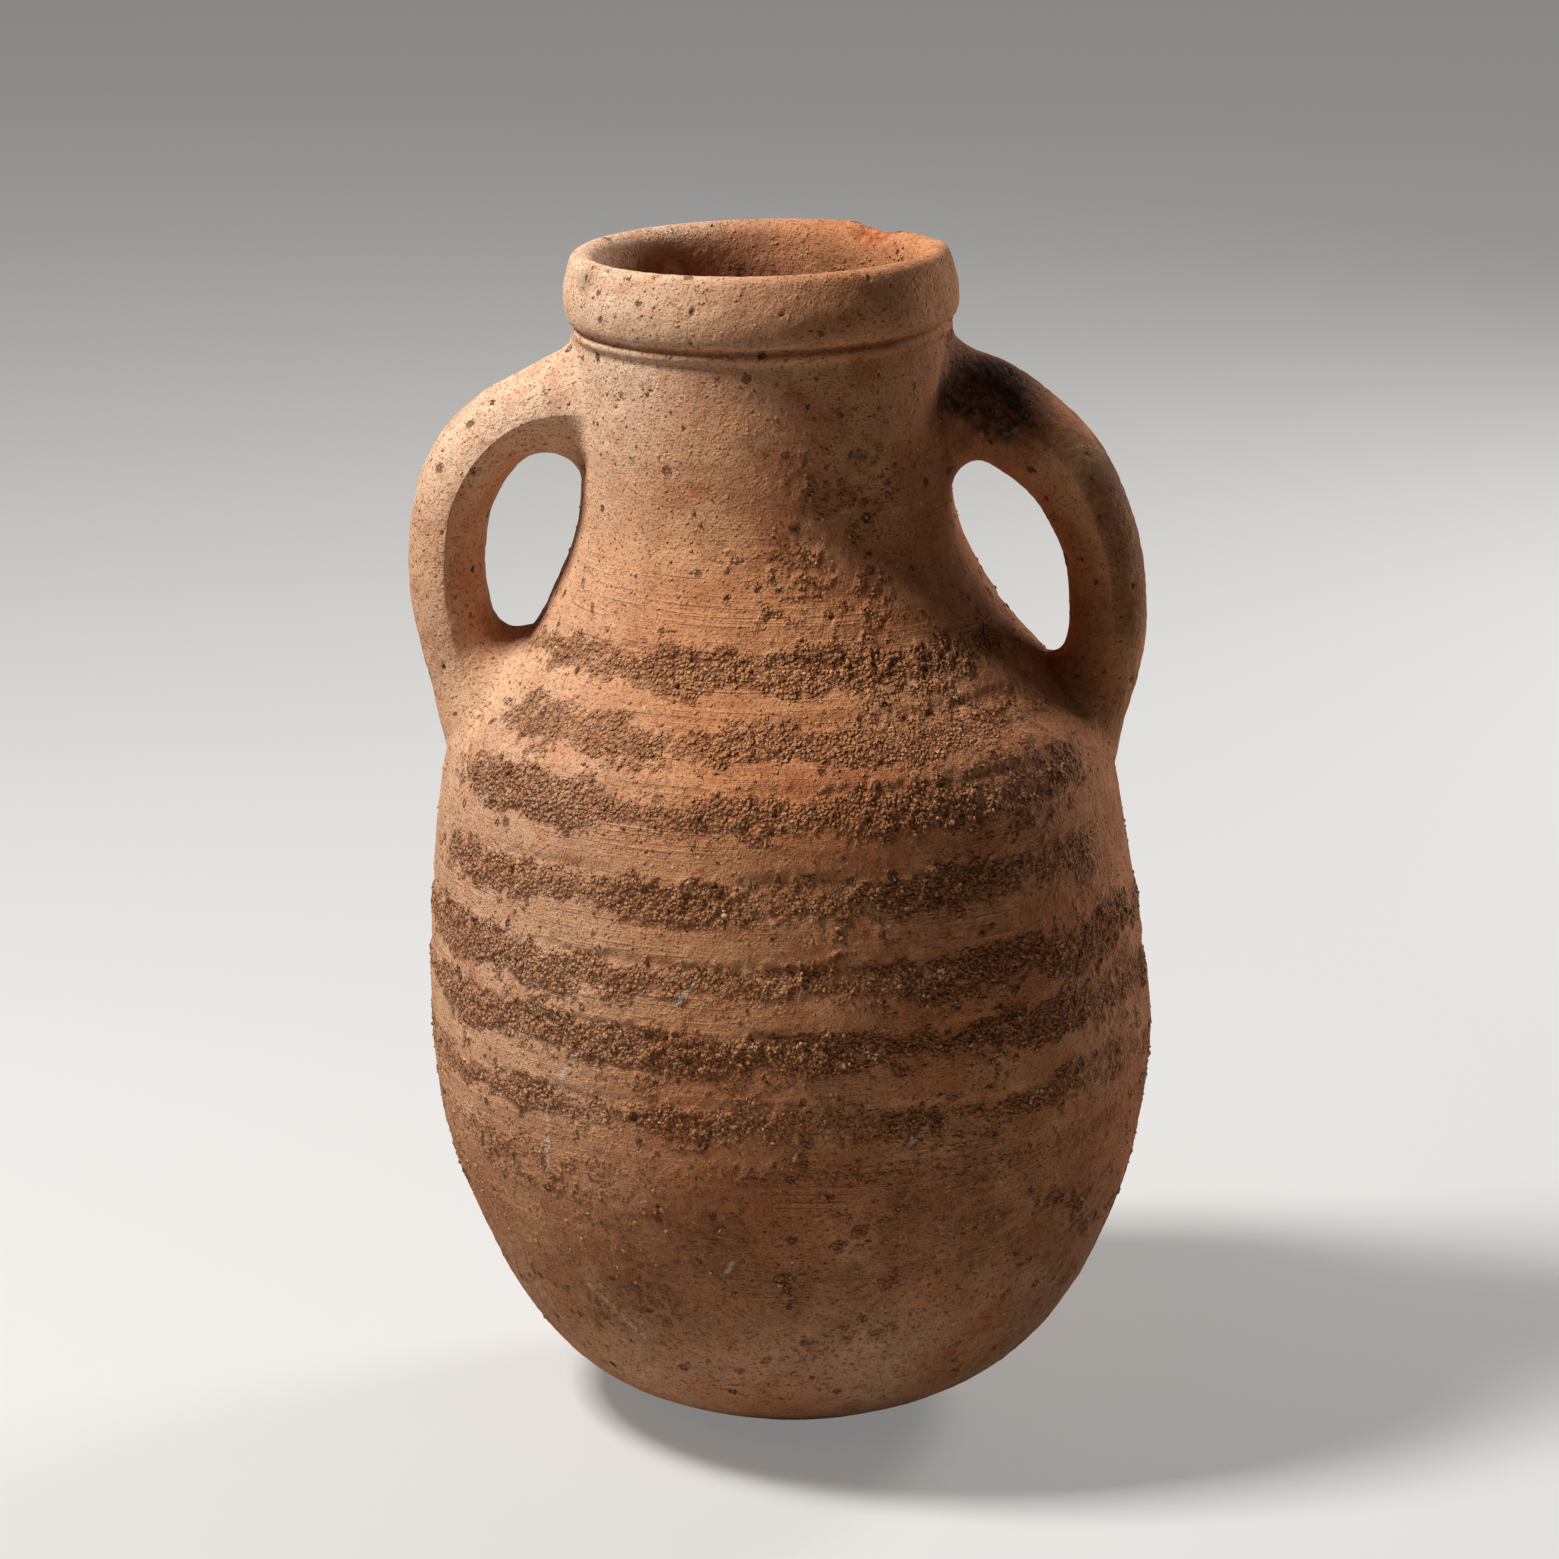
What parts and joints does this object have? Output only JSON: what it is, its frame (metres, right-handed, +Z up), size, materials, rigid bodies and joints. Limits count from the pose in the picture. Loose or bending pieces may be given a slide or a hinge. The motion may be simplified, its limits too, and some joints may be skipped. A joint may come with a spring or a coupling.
{
  "type": "ceramic amphora",
  "caption": "Round-based earthenware storage jar with two strap handles from neck to shoulder, a straight neck, a rolled collar at the mouth and rough throwing bands.",
  "frame": {"origin": "centre of the flat spot on the round base that the jar rests on", "axes": "+Z up to the mouth, handles at -X and +X, +Y away from the viewer of the picture"},
  "size_m": [0.2208, 0.2161, 0.3509],
  "materials": {
    "wall_clay": "unglazed earthenware, smooth wheel-marked bands between rough gritty ones",
    "rim_clay": "unglazed earthenware, smoothed, with a buff slip bloom",
    "handle_clay": "unglazed earthenware, pulled by hand, pitted with lime grit",
    "luting_clay": "unglazed earthenware, smeared by thumb"
  },
  "bodies": {
    "root": {"base_bowl": "wall_clay", "lower_wall": "wall_clay", "upper_wall": "wall_clay", "shoulder": "wall_clay", "neck": "wall_clay", "rim_collar": "rim_clay", "left_handle": "handle_clay", "right_handle": "handle_clay", "left_handle_top_pad": "luting_clay", "left_handle_foot_pad": "luting_clay", "right_handle_top_pad": "luting_clay", "right_handle_foot_pad": "luting_clay"}
  },
  "joints": []
}
